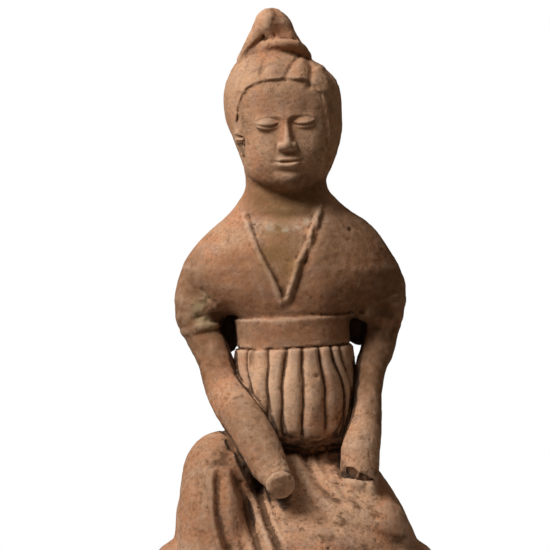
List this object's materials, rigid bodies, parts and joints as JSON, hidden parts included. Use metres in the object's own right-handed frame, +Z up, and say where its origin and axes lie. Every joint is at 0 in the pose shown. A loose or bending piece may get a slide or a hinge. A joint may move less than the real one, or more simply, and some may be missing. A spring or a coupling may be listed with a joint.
{
  "type": "ceramic seated attendant figure",
  "caption": "Seated female attendant in unglazed fired clay, one knee raised under a long pleated skirt, hair in a topknot, standing on a low base.",
  "frame": {"origin": "middle of the base's flat underside", "axes": "+Z up, -Y the way the figure faces, +X towards the figure's left arm"},
  "size_m": [0.149, 0.136, 0.2871],
  "materials": {
    "fired_clay": "matte"
  },
  "bodies": {
    "root": {"attendant_figure": "fired_clay"}
  },
  "joints": []
}
